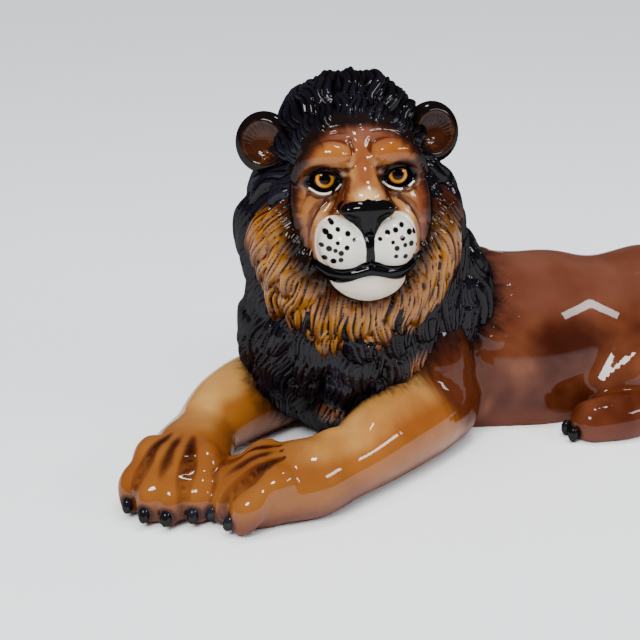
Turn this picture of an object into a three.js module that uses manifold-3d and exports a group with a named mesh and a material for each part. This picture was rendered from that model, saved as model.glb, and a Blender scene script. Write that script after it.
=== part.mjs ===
// Reclining lion in glazed earthenware: one slip-cast piece, lying with its forelegs stretched out
// and its head turned to its left, so that it looks out over its own side.
// Millimetres, +Z up. The body lies along X with the forelegs towards -X, and the face looks towards -Y.
import * as THREE from "three";
import { mergeVertices } from "three/addons/utils/BufferGeometryUtils.js";
import Module from "manifold-3d";

const wasm = await Module();
wasm.setup();

// Driving dimensions. Points are measured from the floor point under the middle of the skull.
const SKULL_HEIGHT = 290;
const HEAD_TURN = -10.5;
const HEAD_LIFT = 11.5;
const HEAD_TILT = 2.5;
const BODY_MIDDLE = 62;
const FLOOR_CENTRE = new THREE.Vector3(122.2, 19.1, 0);

const v = (x, y, z) => new THREE.Vector3(x, y, z);
const degrees = THREE.MathUtils.degToRad;

// Distance fields: each form is a function that gives a point's distance from its surface, minus inside.

// An ellipsoid, turned by angles in degrees about X, Y and Z.
function mass(centre, radii, turn = [0, 0, 0]) {
  const toForm = new THREE.Matrix4()
    .makeRotationFromEuler(new THREE.Euler(...turn.map(degrees)))
    .setPosition(centre)
    .invert();
  const smallest = Math.min(radii.x, radii.y, radii.z);
  return (p) => {
    const q = p.clone().applyMatrix4(toForm).divide(radii);
    const k = q.length();
    const slope = q.divide(radii).length();
    return slope > 0 ? (k * (k - 1)) / slope : -smallest;
  };
}

// A tapered limb with round ends.
function limb(from, fromRadius, to, toRadius) {
  const along = to.clone().sub(from);
  const length2 = along.lengthSq();
  const taper = fromRadius - toRadius;
  const a2 = length2 - taper * taper;
  return (p) => {
    const pa = p.clone().sub(from);
    const y = pa.dot(along);
    const z = y - length2;
    const x2 = pa.multiplyScalar(length2).sub(along.clone().multiplyScalar(y)).lengthSq();
    const y2 = y * y * length2;
    const z2 = z * z * length2;
    const k = Math.sign(taper) * taper * taper * x2;
    if (Math.sign(z) * a2 * z2 > k) return Math.sqrt(x2 + z2) / length2 - toRadius;
    if (Math.sign(y) * a2 * y2 < k) return Math.sqrt(x2 + y2) / length2 - fromRadius;
    return (Math.sqrt((x2 * a2) / length2) + y * taper) / length2 - fromRadius;
  };
}

const softMin = (a, b, soft) => {
  const h = Math.max(soft - Math.abs(a - b), 0) / soft;
  return Math.min(a, b) - (h * h * soft) / 4;
};

// Forms pressed together like clay: each step is [form, softness of its join], and a cut is taken away.
function modelled(steps) {
  return (p) => {
    let d = Infinity;
    for (const [form, soft, isCut] of steps) {
      d = isCut ? -softMin(-d, form(p), soft) : d === Infinity ? form(p) : softMin(d, form(p), soft);
    }
    return d;
  };
}

const placed = (form, matrix) => {
  const inverse = matrix.clone().invert();
  return (p) => form(p.clone().applyMatrix4(inverse));
};

// The corners of a grid cell are numbered by bits, 1 for X, 2 for Y and 4 for Z.
// An edge is a corner and an axis.
const AXES = [1, 2, 4];
const CELL_CORNERS = [0, 1, 2, 3, 4, 5, 6, 7];
const CELL_EDGES = CELL_CORNERS.flatMap((a) => AXES.filter((axis) => !(a & axis)).map((axis) => [a, axis]));
const CELL_FACES = AXES.flatMap((normal, n) =>
  [0, normal].map((base) => {
    const [s, t] = [AXES[(n + 1) % 3], AXES[(n + 2) % 3]];
    return [base, base | s, base | s | t, base | t];
  }),
);
const edgeName = (a, b) => `${Math.min(a, b)}:${Math.abs(a - b)}`;

// The crossed edges of a cell, grouped into the separate sheets of surface that pass through it.
function sheetsOf(inside) {
  const group = new Map();
  for (const [a, axis] of CELL_EDGES) {
    if (inside[a] !== inside[a | axis]) group.set(edgeName(a, a | axis), edgeName(a, a | axis));
  }
  const join = (e, f) => {
    const [from, to] = [group.get(e), group.get(f)];
    for (const [edge, name] of group) if (name === from) group.set(edge, to);
  };
  for (const face of CELL_FACES) {
    const crossed = face.map((c, i) => [c, face[(i + 1) % 4]]).filter(([c, d]) => inside[c] !== inside[d]);
    if (crossed.length === 2) join(edgeName(...crossed[0]), edgeName(...crossed[1]));
    if (crossed.length < 4) continue;
    face.forEach((c, i) => {
      if (inside[c]) join(edgeName(c, face[(i + 1) % 4]), edgeName(c, face[(i + 3) % 4]));
    });
  }
  return group;
}

// Closed mesh of a field: a vertex for each sheet of surface in each grid cell, drawn onto the surface.
function skin(form, low, high, cell) {
  const [nx, ny, nz] = high.clone().sub(low).divideScalar(cell).ceil().addScalar(1).toArray();
  const at = (i, j, k) => i + nx * (j + ny * k);
  const corner = (i, j, k) => v(i, j, k).multiplyScalar(cell).add(low);
  const value = new Float64Array(nx * ny * nz);
  for (let k = 0; k < nz; k++) {
    for (let j = 0; j < ny; j++) for (let i = 0; i < nx; i++) value[at(i, j, k)] = form(corner(i, j, k));
  }
  const positions = [];
  const cells = new Map();
  const verticesOf = (i, j, k) => {
    const key = at(i, j, k);
    if (cells.has(key)) return cells.get(key);
    const place = (c) => [i + (c & 1), j + ((c >> 1) & 1), k + ((c >> 2) & 1)];
    const corners = CELL_CORNERS.map((c) => value[at(...place(c))]);
    const group = sheetsOf(corners.map((d) => d < 0));
    const sums = new Map();
    for (const [a, axis] of CELL_EDGES) {
      const sheet = group.get(edgeName(a, a | axis));
      if (sheet === undefined) continue;
      const share = corners[a] / (corners[a] - corners[a | axis]);
      const crossing = corner(...place(a)).lerp(corner(...place(a | axis)), share);
      sums.set(sheet, [...(sums.get(sheet) ?? []), crossing]);
    }
    const vertexOfSheet = new Map();
    for (const [sheet, crossings] of sums) {
      const p = crossings.reduce((sum, c) => sum.add(c), v(0, 0, 0)).divideScalar(crossings.length);
      vertexOfSheet.set(sheet, positions.length / 3);
      positions.push(...drawnOnto(form, p, 0.6 * cell).toArray());
    }
    const vertices = new Map([...group].map(([edge, sheet]) => [edge, vertexOfSheet.get(sheet)]));
    cells.set(key, vertices);
    return vertices;
  };
  const triangles = [];
  for (let k = 1; k < nz - 1; k++) {
    for (let j = 1; j < ny - 1; j++) {
      for (let i = 1; i < nx - 1; i++) {
        AXES.forEach((axis, n) => {
          const step = [0, 1, 2].map((m) => (m === n ? 1 : 0));
          const isInside = value[at(i, j, k)] < 0;
          if (isInside === value[at(i + step[0], j + step[1], k + step[2])] < 0) return;
          const [s, t] = [(n + 1) % 3, (n + 2) % 3];
          const ring = [[1, 1], [0, 1], [0, 0], [1, 0]].map(([ds, dt]) => {
            const at3 = [i, j, k];
            at3[s] -= ds;
            at3[t] -= dt;
            const start = ds * AXES[s] + dt * AXES[t];
            return verticesOf(...at3).get(edgeName(start, start | axis));
          });
          const [a, b, c, d] = isInside ? ring : ring.reverse();
          triangles.push(a, b, c, a, c, d);
        });
      }
    }
  }
  return closedSolid(positions, triangles);
}

// A point moved onto the surface of a field, unless that takes it further than the reach given.
function drawnOnto(form, start, reach) {
  const p = start.clone();
  for (let step = 0; step < 3; step++) {
    const slope = gradient(form, p);
    p.sub(slope.multiplyScalar(form(p) / Math.max(slope.lengthSq(), 0.25)));
  }
  return p.distanceTo(start) > reach ? start : p;
}

function gradient(form, p, h = 0.4) {
  const g = v(0, 0, 0);
  for (const axis of ["x", "y", "z"]) {
    const a = p.clone();
    const b = p.clone();
    a[axis] += h;
    b[axis] -= h;
    g[axis] = (form(a) - form(b)) / (2 * h);
  }
  return g;
}

function closedSolid(positions, triangles) {
  const vertProperties = new Float32Array(positions);
  const triVerts = new Uint32Array(triangles);
  return new wasm.Manifold(new wasm.Mesh({ numProp: 3, vertProperties, triVerts }));
}

function closedSolidOf(geometry) {
  geometry.deleteAttribute("normal");
  geometry.deleteAttribute("uv");
  const merged = mergeVertices(geometry, 1e-3);
  return closedSolid(merged.attributes.position.array, merged.index.array);
}

// The head's own frame, from the middle of the skull: X to the lion's left, Y up and Z out of the face.
const headFrame = new THREE.Matrix4()
  .makeTranslation(0, 0, SKULL_HEIGHT)
  .multiply(new THREE.Matrix4().makeRotationZ(degrees(HEAD_TURN)))
  .multiply(new THREE.Matrix4().makeBasis(v(1, 0, 0), v(0, 0, 1), v(0, -1, 0)))
  .multiply(new THREE.Matrix4().makeRotationX(degrees(-HEAD_LIFT)))
  .multiply(new THREE.Matrix4().makeRotationZ(degrees(HEAD_TILT)));

function headForm() {
  const steps = [
    [mass(v(0, 12, 2), v(70, 72, 74)), 1],
    [mass(v(0, -58, 40), v(52, 50, 46)), 20],
    [mass(v(0, 40, 46), v(54, 36, 32)), 20],
  ];
  for (const side of [-1, 1]) {
    steps.push([mass(v(side * 40, -26, 40), v(31, 52, 32)), 16]);
    steps.push([mass(v(side * 39, 35, 66), v(27, 13, 17), [0, side * 18, side * -18]), 8]);
  }
  steps.push([limb(v(0, 42, 66), 17, v(0, -8, 94), 22), 12]);
  for (const side of [-1, 1]) steps.push([mass(v(side * 36, 13, 88), v(19, 11, 13)), 6, true]);
  return modelled(steps);
}

// A round form in the head's frame.
function bead(centre, radii, sides = 12, rings = 8) {
  const geometry = new THREE.SphereGeometry(1, sides, rings).scale(radii.x, radii.y, radii.z);
  return closedSolidOf(geometry.translate(centre.x, centre.y, centre.z).applyMatrix4(headFrame));
}

// A round cupped ear, facing forward and a little outward.
function ear(side) {
  const profile = [[0, -15], [17, -14], [26, -5], [29, 5], [24, 8], [15, -1], [0, -4]];
  const geometry = new THREE.LatheGeometry(profile.map(([r, h]) => new THREE.Vector2(r, h)), 11);
  geometry.rotateX(degrees(90)).rotateY(degrees(side * 18)).translate(side * 86, 46, -6);
  return closedSolidOf(geometry.applyMatrix4(headFrame));
}

// The parts of the face and the ears that stand on the head.
const faceParts = [-1, 1].flatMap((side) => [
  ear(side),
  bead(v(side * 35, 13, 61), v(14, 14, 14), 10, 8),
  bead(v(side * 24, -48, 82), v(24, 26, 29)),
]);
faceParts.push(
  bead(v(0, -86, 64), v(36, 21, 27)),
  bead(v(0, -15, 101), v(25, 12, 15)),
  bead(v(0, -27, 101), v(12, 14, 13), 8, 6),
);

// The mass of hair under the locks: round the head, and down the neck to the withers and the chest.
function maneForm() {
  const aroundHead = modelled([
    [mass(v(0, 50, -14), v(67, 58, 70)), 1],
    [mass(v(0, -48, -4), v(98, 100, 74)), 30],
    [mass(v(0, -50, -40), v(106, 104, 84)), 30],
  ]);
  return modelled([
    [placed(aroundHead, headFrame), 1],
    [mass(v(-6, 34, 122), v(94, 88, 104)), 30],
    [mass(v(72, 64, 150), v(100, 84, 84), [0, 25, 0]), 40],
  ]);
}

function torsoForm() {
  return modelled([
    [mass(v(110, 82, 58), v(130, 84, 138)), 1],
    [mass(v(240, 66, 52), v(140, 90, 124)), 40],
    [mass(v(378, BODY_MIDDLE, 56), v(96, 88, 116)), 40],
  ]);
}

// A rounded form along a line of points, with a radius at each point and a height as a share of its width.
function sausage(points, radii, sides, rings, height = 1) {
  const path = new THREE.CatmullRomCurve3(points);
  const geometry = new THREE.CapsuleGeometry(1, 2, 2, sides, rings);
  const position = geometry.getAttribute("position");
  for (let n = 0; n < position.count; n++) {
    const [x, y, z] = [position.getX(n), position.getY(n), position.getZ(n)];
    const t = THREE.MathUtils.clamp((1 - y) / 2, 0, 1);
    const beyond = y - THREE.MathUtils.clamp(y, -1, 1);
    const stretch = Math.min(t * (radii.length - 1), radii.length - 1.001);
    const r = THREE.MathUtils.lerp(radii[Math.floor(stretch)], radii[Math.floor(stretch) + 1], stretch % 1);
    const along = path.getTangent(t);
    const side = v(0, 0, 1).cross(along).normalize();
    const up = along.clone().cross(side);
    const at = path.getPoint(t).addScaledVector(along, -beyond * r);
    at.addScaledVector(side, x * r).addScaledVector(up, z * r * height);
    position.setXYZ(n, at.x, at.y, at.z);
  }
  return closedSolidOf(geometry);
}

// Each foreleg lies along the floor from the elbow to the wrist.
const LEFT_FORELEG = sausage(
  [v(102, -10, 36), v(66, -34, 40), v(20, -66, 38), v(-30, -102, 34), v(-70, -119, 33)],
  [38, 45, 42, 39, 37], 11, 5,
);
const RIGHT_FORELEG = sausage(
  [v(-30, 84, 42), v(-80, 68, 42), v(-124, 38, 40), v(-156, 4, 34), v(-172, -26, 32)],
  [40, 44, 42, 37, 34], 11, 5,
);
const LEFT_SHOULDER = sausage([v(84, 14, 136), v(90, -4, 92), v(98, -12, 46)], [40, 42, 37], 10, 3);

// Each thigh comes forward to the knee, and the hind foot lies along the floor under it.
const THIGHS = [-1, 1].map((side) =>
  sausage(
    [
      v(404, BODY_MIDDLE + side * 46, 74),
      v(350, BODY_MIDDLE + side * 60, 60),
      v(300, BODY_MIDDLE + side * 72, 38),
    ],
    [74, 56, 33], 11, 3,
  ),
);
const HIND_FEET = [-1, 1].map((side) =>
  sausage(
    [
      v(400, BODY_MIDDLE + side * 100, 26),
      v(340, BODY_MIDDLE + side * 112, 24),
      v(296, BODY_MIDDLE + side * 116, 20),
      v(262, BODY_MIDDLE + side * 116, 18),
    ],
    [28, 25, 27, 24], 10, 5,
  ),
);

// The tail lies along the floor round the haunch and ends in a tuft of hair.
const TAIL = sausage(
  [
    v(448, 50, 66),
    v(476, 34, 36),
    v(488, -4, 18),
    v(478, -48, 14),
    v(448, -80, 13),
    v(404, -94, 16),
    v(366, -96, 14),
  ],
  [22, 17, 15, 14, 14, 21, 10], 7, 8,
);

// A forepaw from the wrist along a heading in degrees from +X: the palm, four toes and a claw on each.
function paw(wrist, heading) {
  const frame = new THREE.Matrix4().makeRotationZ(degrees(heading)).setPosition(wrist);
  const there = (x, y, z) => v(x, y, z).applyMatrix4(frame);
  const palmLine = [there(6, 0, 30), there(34, 0, 32), there(58, 0, 28)];
  const palm = sausage(palmLine, [36, 45, 43], 11, 3, 0.8);
  const solids = [palm];
  for (const toe of [-1.5, -0.5, 0.5, 1.5]) {
    const reach = 92 - 6 * toe * toe;
    const knuckle = there(reach - 38, toe * 19, 42);
    const line = [knuckle, there(reach - 14, toe * 22, 36), there(reach, toe * 22, 17)];
    solids.push(sausage(line, [15, 17, 16], 7, 2));
    const claw = new THREE.ConeGeometry(6, 22, 6).rotateZ(degrees(-90)).rotateY(degrees(50));
    solids.push(closedSolidOf(claw.translate(reach + 13, toe * 22.5, 11).applyMatrix4(frame)));
  }
  return wasm.Manifold.union(solids);
}

const LEFT_WRIST = v(-70, -116, 0);
const RIGHT_WRIST = v(-174, -32, 0);

// Hair flows away from the face over the mane, back over the crown, and down the neck and the chest.
const mane = maneForm();
const headOrigin = v(0, 0, 0).applyMatrix4(headFrame);
const headAxis = (x, y, z) => v(x, y, z).applyMatrix4(headFrame).sub(headOrigin);
const FACE_BACK = headAxis(0, 0, -1);

function hairFlow(p) {
  const q = p.clone().applyMatrix4(headFrame.clone().invert());
  const outward = headAxis(q.x, q.y + 20, 0).normalize();
  const front = THREE.MathUtils.smoothstep(q.z, -90, 10);
  const low = 1 - THREE.MathUtils.smoothstep(q.y, -120, 40);
  const down = v(0, 0, -0.3 - 1.6 * low);
  const flow = outward.multiplyScalar(0.25 + front).addScaledVector(FACE_BACK, 0.6).add(down);
  const out = gradient(mane, p).normalize();
  return flow.addScaledVector(out, -flow.dot(out)).normalize();
}

// The point of the mane that is seen from a centre in a direction.
function onMane(centre, direction) {
  const p = centre.clone().addScaledVector(direction, 320);
  for (let step = 0; step < 60; step++) p.addScaledVector(direction, -0.7 * mane(p));
  return p;
}

const MANE_MIDDLE = v(8, 36, 222);
const MANE_POLE = v(-0.1, -0.9, 0.25).normalize();
const MANE_MERIDIANS = 78;
const MANE_RINGS = 30;
const jitter = (n) => ((Math.sin(n * 12.9898) * 43758.5453) % 1 + 1) % 1 - 0.5;

const LOCK_STEPS = 6;

// A lock starts at a point of the mane and follows the hair's flow: its centre line and its sizes.
function lock(start, row, length, curl) {
  const line = [start];
  for (let step = 0; step < LOCK_STEPS; step++) {
    const p = line[step];
    const out = gradient(mane, p).normalize();
    const turn = curl * Math.cos((step / LOCK_STEPS) * 2 * Math.PI);
    const next = p.clone().addScaledVector(hairFlow(p).applyAxisAngle(out, turn), length / LOCK_STEPS);
    line.push(drawnOnto(mane, next, length));
  }
  return { ...row, line };
}

// How far a lock stands out of the mane at a point: it swells from root to tip and is round across.
function lockHeight({ line, width, thickness }, p) {
  let best = 0;
  for (let step = 0; step < LOCK_STEPS; step++) {
    const piece = new THREE.Line3(line[step], line[step + 1]);
    const share = piece.closestPointToPointParameter(p, true);
    const t = (step + share) / LOCK_STEPS;
    const across = piece.at(share, v(0, 0, 0)).distanceTo(p) / (width * (0.55 - 0.25 * t));
    if (across < 1) best = Math.max(best, thickness * (0.2 + 0.8 * t) * Math.sqrt(1 - across * across));
  }
  return best;
}

// Rows of locks round the face, each by its angle from the face's axis.
const HEAD_MIDDLE = v(0, -25, -20).applyMatrix4(headFrame);
const HEAD_ROWS = [
  { polar: 55, from: 32, to: 148, count: 8, length: 62, width: 27, thickness: 12 },
  { polar: 50, from: 162, to: 378, count: 15, length: 74, width: 28, thickness: 14 },
  { polar: 82, from: 0, to: 360, count: 16, length: 84, width: 40, thickness: 18 },
  { polar: 112, from: 0, to: 360, count: 12, length: 90, width: 50, thickness: 18 },
  { polar: 146, from: 0, to: 360, count: 6, length: 90, width: 56, thickness: 18 },
];
// Rows round the neck and the chest, each by its height.
const CHEST_MIDDLE = v(30, 45, 0);
const CHEST_ROWS = [
  { height: 200, count: 12, length: 84, width: 52, thickness: 18 },
  { height: 150, count: 12, length: 84, width: 52, thickness: 18 },
  { height: 102, count: 12, length: 74, width: 50, thickness: 17 },
];

function maneLocks() {
  const locks = [];
  const grow = (start, row, seed) => {
    const length = row.length * (1 + 0.3 * jitter(seed + 0.7));
    locks.push(lock(start, row, length, 0.35 + 0.5 * jitter(seed + 0.9)));
  };
  HEAD_ROWS.forEach((row, r) => {
    for (let n = 0; n < row.count; n++) {
      const seed = 100 * r + n;
      const share = (n + 0.5 + 0.3 * jitter(seed)) / row.count;
      const round = degrees(THREE.MathUtils.lerp(row.from, row.to, share));
      const tilt = degrees(row.polar + 5 * jitter(seed + 0.3));
      const wide = Math.sin(tilt);
      const direction = headAxis(wide * Math.cos(round), wide * Math.sin(round), Math.cos(tilt));
      grow(onMane(HEAD_MIDDLE, direction), row, seed);
    }
  });
  CHEST_ROWS.forEach((row, r) => {
    for (let n = 0; n < row.count; n++) {
      const seed = 1000 + 100 * r + n;
      const round = degrees((360 * (n + 0.5 * (r % 2) + 0.3 * jitter(seed))) / row.count);
      const centre = CHEST_MIDDLE.clone().setZ(row.height + 12 * jitter(seed + 0.3));
      grow(onMane(centre, v(Math.cos(round), Math.sin(round), 0)), row, seed);
    }
  });
  return locks;
}

// The carved mane: a ball with its pole in the face, drawn onto the mass of hair, with its locks raised.
function carvedMane() {
  const locks = maneLocks();
  const toFace = new THREE.Quaternion().setFromUnitVectors(v(0, 1, 0), MANE_POLE);
  const geometry = new THREE.SphereGeometry(1, MANE_MERIDIANS, MANE_RINGS).applyQuaternion(toFace);
  const position = geometry.getAttribute("position");
  for (let n = 0; n < position.count; n++) {
    const direction = v(position.getX(n), position.getY(n), position.getZ(n)).normalize();
    const p = onMane(MANE_MIDDLE, direction);
    const height = Math.max(...locks.map((one) => lockHeight(one, p)));
    p.addScaledVector(gradient(mane, p).normalize(), height);
    position.setXYZ(n, p.x, p.y, p.z);
  }
  return closedSolidOf(geometry);
}

const solids = [
  skin(torsoForm(), v(-100, -220, -130), v(560, 280, 300), 38),
  carvedMane(),
  skin(placed(headForm(), headFrame), v(-160, -180, 130), v(160, 140, 440), 12),
  ...faceParts,
  paw(LEFT_WRIST, 181),
  paw(RIGHT_WRIST, 239),
  LEFT_SHOULDER,
  LEFT_FORELEG,
  RIGHT_FORELEG,
  ...THIGHS,
  ...HIND_FEET,
  TAIL,
];

// The underside is cut flat, so that the lion stands on it.
const ground = closedSolidOf(new THREE.BoxGeometry(2000, 2000, 200).translate(0, 0, -100));

const whole = wasm.Manifold.union(solids).subtract(ground);
const largest = whole.decompose().sort((a, b) => b.volume() - a.volume())[0];

function geometryOf(solid) {
  const mesh = solid.getMesh();
  const geometry = new THREE.BufferGeometry();
  geometry.setAttribute("position", new THREE.BufferAttribute(mesh.vertProperties, 3));
  geometry.setIndex(new THREE.BufferAttribute(mesh.triVerts, 1));
  geometry.translate(-FLOOR_CENTRE.x, -FLOOR_CENTRE.y, 0);
  return geometry;
}

const glaze = new THREE.MeshStandardMaterial({ color: 0xa8622c, roughness: 0.15, metalness: 0 });
const lion = new THREE.Mesh(geometryOf(largest), glaze);
lion.name = "lion";

const part = new THREE.Group();
part.add(lion);
export default part;
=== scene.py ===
# Reclining lion in glazed earthenware: the skin, the carved hair and the painted face of one slip casting.
# Forms are modelled in millimetres from the floor point under the middle of the skull, +Z up.
import math

import bmesh
import bpy
import numpy as np
from mathutils import Matrix, Vector


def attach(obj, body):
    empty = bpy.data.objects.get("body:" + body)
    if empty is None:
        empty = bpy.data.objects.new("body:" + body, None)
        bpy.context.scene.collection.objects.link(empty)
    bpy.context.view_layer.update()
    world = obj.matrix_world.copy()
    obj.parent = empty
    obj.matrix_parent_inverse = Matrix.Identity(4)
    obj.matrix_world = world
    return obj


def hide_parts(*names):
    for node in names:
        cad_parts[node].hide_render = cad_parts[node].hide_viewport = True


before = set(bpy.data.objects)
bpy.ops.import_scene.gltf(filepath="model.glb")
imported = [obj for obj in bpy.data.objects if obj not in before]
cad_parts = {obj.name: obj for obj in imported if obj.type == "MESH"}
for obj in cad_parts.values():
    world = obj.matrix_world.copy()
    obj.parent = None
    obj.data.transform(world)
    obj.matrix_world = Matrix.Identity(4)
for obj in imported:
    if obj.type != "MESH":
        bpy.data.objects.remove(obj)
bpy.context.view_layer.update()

# Measures of the lion, in millimetres and degrees.
SKULL_HEIGHT = 290
HEAD_TURN = -10.5
HEAD_LIFT = 11.5
HEAD_TILT = 2.5
BODY_MIDDLE = 62
# The shared frame is in metres, from the floor point under the middle of the whole lion.
FLOOR_CENTRE = np.array((122.2, 19.1, 0))
METRES = 0.001
# A brush stroke is this many times as long as it is wide.
STROKE_SHAPE = 8
# A limb's distance is only rough past this one.
FAR = 45
TAU = 2 * math.pi


# Forms: each is a function for distances from its surface, minus inside, and balls that fill it roughly.


def rotation(angle, axis):
    return Matrix.Rotation(math.radians(angle), 4, axis)


def mass(centre, radii, turn=(0, 0, 0)):
    """An ellipsoid, turned by angles about X, Y and Z."""
    turned = rotation(turn[0], "X") @ rotation(turn[1], "Y") @ rotation(turn[2], "Z")
    ball = Matrix.Translation(centre) @ turned @ Matrix.Diagonal((*radii, 1))
    middle, axes, sizes = np.array(centre), np.array(turned.to_3x3()), np.array(radii)

    def distance(p):
        q = (p - middle) @ axes / sizes
        k = np.linalg.norm(q, axis=1)
        slope = np.linalg.norm(q / sizes, axis=1)
        return k * (k - 1) / np.maximum(slope, 1e-6)

    return distance, [ball]


def curve_through(points, count, closed=False):
    """Evenly spread points on a smooth curve, each with its place among the points given."""
    known = np.array(points, float)
    if closed:
        known = np.vstack((known[-1], known, known[:2]))
    else:
        known = np.vstack((2 * known[0] - known[1], known, 2 * known[-1] - known[-2]))
    last = len(known) - 3
    places = np.linspace(0, last, count)
    start = np.minimum(places.astype(int), last - 1)
    t = (places - start)[:, None]
    a, b, c, d = (known[start + n] for n in range(4))
    on_curve = b + t * (c - a) / 2 + t**2 * (a - 2.5 * b + 2 * c - d / 2) + t**3 * (3 * b - a - 3 * c + d) / 2
    return on_curve, places


def limb(points, radii, flat=1.0, count=15):
    """A rounded form along a curve, with a radius at each point and its height as a share of its width."""
    centres, places = curve_through(points, count)
    sizes = curve_through([(r,) for r in radii], count)[0][:, 0]
    squeeze = np.array((1, 1, 1 / flat))
    middle = centres.mean(axis=0)
    reach = np.linalg.norm(centres - middle, axis=1).max() + sizes.max()

    def distance(p):
        """Exact near the form; far from it, the distance from a ball around it is enough."""
        result = np.linalg.norm(p - middle, axis=1) - reach
        near = result < FAR
        nearest = np.full(near.sum(), np.inf)
        for n in range(count - 1):
            along = (centres[n + 1] - centres[n]) * squeeze
            away = (p[near] - centres[n]) * squeeze
            t = np.clip(away @ along / (along @ along), 0, 1)
            gap = np.linalg.norm(away - t[:, None] * along, axis=1)
            nearest = np.minimum(nearest, gap - sizes[n] - t * (sizes[n + 1] - sizes[n]))
        result[near] = nearest
        return result

    balls = [
        Matrix.Translation(centre) @ Matrix.Diagonal((size, size, size * flat, 1))
        for centre, size in zip(centres, sizes)
    ]
    return distance, balls


def soft_min(a, b, soft):
    """The smaller of two distances, rounded where they are nearly the same."""
    overlap = np.maximum(soft - np.abs(a - b), 0) / soft
    return np.minimum(a, b) - overlap**2 * soft / 4


def joined(*steps):
    """Forms pressed together like clay: each step is a form and the softness of its join."""

    def distance(p):
        total = steps[0][0][0](p)
        for (form, _), soft in steps[1:]:
            total = soft_min(total, form(p), soft)
        return total

    return distance, [ball for (_, balls), _ in steps for ball in balls]


def carved(form, *cuts):
    """A form with others taken away from it: each cut is a form and the softness of its edge."""

    def distance(p):
        total = form[0](p)
        for (cut, _), soft in cuts:
            total = -soft_min(-total, cut(p), soft)
        return total

    return distance, form[1]


def gradient(distance, p, reach=0.5):
    """The field's slope at each point, and its value there."""
    corners = np.array(((1, -1, -1), (-1, -1, 1), (-1, 1, -1), (1, 1, 1)))
    values = [distance(p + reach * corner) for corner in corners]
    slope = sum(value[:, None] * corner for value, corner in zip(values, corners)) / (4 * reach)
    return slope, sum(values) / 4


def drawn_onto(distance, p, steps=3):
    """Points moved onto the surface of a form."""
    for _ in range(steps):
        slope, value = gradient(distance, p)
        p = p - slope * (value / np.maximum((slope**2).sum(1), 0.3))[:, None]
    return p


def unit(vectors):
    """Vectors made one long."""
    return vectors / np.maximum(np.linalg.norm(vectors, axis=-1, keepdims=True), 1e-9)


def ramp(x, low, high):
    """A smooth step from 0 at low to 1 at high."""
    t = np.clip((x - low) / (high - low), 0, 1)
    return t * t * (3 - 2 * t)


def jitter(n):
    """An uneven number from -0.5 to 0.5 that is always the same for the same n."""
    return np.sin(n * 12.9898) * 43758.5453 % 1 - 0.5


# The head's own frame, from the middle of the skull: X to the lion's left, Y up and Z out of the face.
HEAD = (
    Matrix.Translation((0, 0, SKULL_HEIGHT))
    @ rotation(HEAD_TURN, "Z")
    @ rotation(90, "X")
    @ rotation(-HEAD_LIFT, "X")
    @ rotation(HEAD_TILT, "Z")
)
HEAD_AXES = np.array(HEAD.to_3x3())
HEAD_ORIGIN = np.array(HEAD.translation)


def to_head(p):
    return (p - HEAD_ORIGIN) @ HEAD_AXES


def from_head(q):
    return np.array(q, float) @ HEAD_AXES.T + HEAD_ORIGIN


def on_head(form):
    """A form that is given in the head's frame."""
    distance, balls = form
    return (lambda p: distance(to_head(p))), [HEAD @ ball for ball in balls]


# Skins and shells.


def linked(name, mesh):
    piece = bpy.data.objects.new(name, mesh)
    bpy.context.scene.collection.objects.link(piece)
    return piece


def skinned(name, shells, cell, soften):
    """One skin over all the closed shells of a bmesh, softened as glaze softens a cast."""
    bmesh.ops.recalc_face_normals(shells, faces=shells.faces)
    piece = linked(name, bpy.data.meshes.new(name))
    shells.to_mesh(piece.data)
    shells.free()
    skin = piece.modifiers.new("skin", "REMESH")
    skin.mode = "VOXEL"
    skin.voxel_size = cell
    slip = piece.modifiers.new("slip", "SMOOTH")
    slip.factor = 0.5
    slip.iterations = soften
    ready = piece.evaluated_get(bpy.context.evaluated_depsgraph_get())
    mesh = bpy.data.meshes.new_from_object(ready)
    piece.modifiers.clear()
    piece.data = mesh
    mesh.name = name
    return piece


def points_of(piece):
    p = np.empty(3 * len(piece.data.vertices))
    piece.data.vertices.foreach_get("co", p)
    return p.reshape(-1, 3)


def set_points(piece, p):
    piece.data.vertices.foreach_set("co", np.asarray(p, float).ravel())
    piece.data.update()


def moulded(name, form, cells):
    """A form's skin: its balls are skinned at each cell size in turn and drawn onto its surface."""
    distance, balls = form
    shells = bmesh.new()
    for ball in balls:
        bmesh.ops.create_icosphere(shells, subdivisions=3, radius=1, matrix=ball)
    for cell in cells:
        piece = skinned(name, shells, cell, 2)
        p = drawn_onto(distance, points_of(piece))
        for _ in range(2):
            p = drawn_onto(distance, (p + neighbours_mean(piece, p)) / 2, 1)
        set_points(piece, p)
        if cell != cells[-1]:
            shells = bmesh.new()
            shells.from_mesh(piece.data)
            bpy.data.objects.remove(piece)
    return piece


def neighbours_mean(piece, values):
    """Each point's mean over the points that share an edge with it."""
    edges = np.empty(2 * len(piece.data.edges), int)
    piece.data.edges.foreach_get("vertices", edges)
    a, b = edges.reshape(-1, 2).T
    count = len(piece.data.vertices)
    share = np.bincount(a, minlength=count) + np.bincount(b, minlength=count)
    columns = [
        np.bincount(a, column[b], minlength=count) + np.bincount(b, column[a], minlength=count)
        for column in values.reshape(count, -1).T
    ]
    return (np.stack(columns, axis=1) / share[:, None]).reshape(values.shape)


def normals_of(piece):
    n = np.empty(3 * len(piece.data.vertices))
    piece.data.vertices.foreach_get("normal", n)
    return n.reshape(-1, 3)


def hollows(piece, spread, cell):
    """How hollow the surface is at each point, in turns per centimetre, and minus on a ridge."""
    p = points_of(piece)
    bend = ((neighbours_mean(piece, p) - p) * normals_of(piece)).sum(1) * 20 / cell**2
    for _ in range(spread):
        bend = neighbours_mean(piece, bend)
    return bend


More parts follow.
